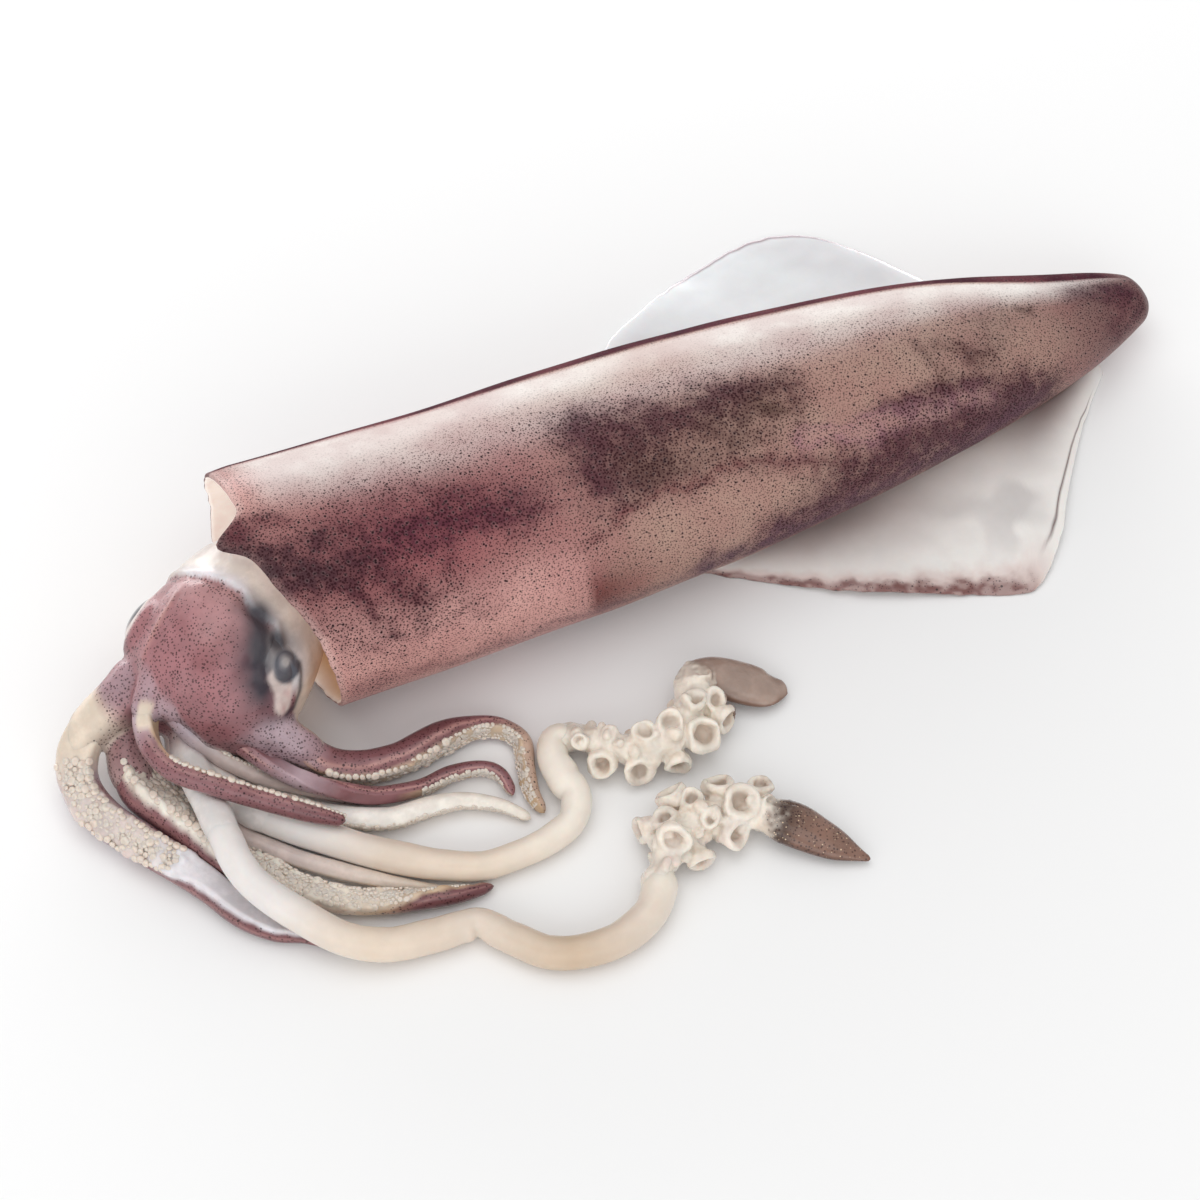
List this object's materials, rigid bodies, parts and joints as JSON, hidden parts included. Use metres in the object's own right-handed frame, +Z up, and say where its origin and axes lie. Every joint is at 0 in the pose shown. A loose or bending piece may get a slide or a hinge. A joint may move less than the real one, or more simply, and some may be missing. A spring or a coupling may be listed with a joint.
{
  "type": "whole raw squid",
  "caption": "Whole raw squid lying on its belly: long tapered mantle tube, broad rear fins, head with large eyes, curled arms, and long tentacles ending in suckered clubs.",
  "frame": {"origin": "middle of the footprint, on the surface the squid lies on", "axes": "+X along the mantle towards its tip, +Y across it towards the far fin, +Z up"},
  "size_m": [0.3028, 0.1806, 0.0577],
  "materials": {
    "skin": "wet, glossy, freckled with dark spots",
    "head_skin": "wet, glossy",
    "arm_flesh": "wet, glossy",
    "stalk_flesh": "wet, smooth",
    "club_flesh": "wet, glossy",
    "fin_flesh": "wet, glossy",
    "eye": "wet, glossy"
  },
  "bodies": {
    "root": {"mantle": "skin", "fin_far": "fin_flesh", "fin_near": "fin_flesh", "head": "head_skin", "eye_near": "eye", "eye_far": "eye", "arm_1": "arm_flesh", "arm_2": "arm_flesh", "arm_3": "arm_flesh", "arm_4": "arm_flesh", "arm_5": "arm_flesh", "arm_6": "arm_flesh", "arm_7": "arm_flesh", "arm_8": "arm_flesh", "tentacle_near": "stalk_flesh", "tentacle_far": "stalk_flesh", "club_near": "club_flesh", "club_far": "club_flesh"}
  },
  "joints": []
}
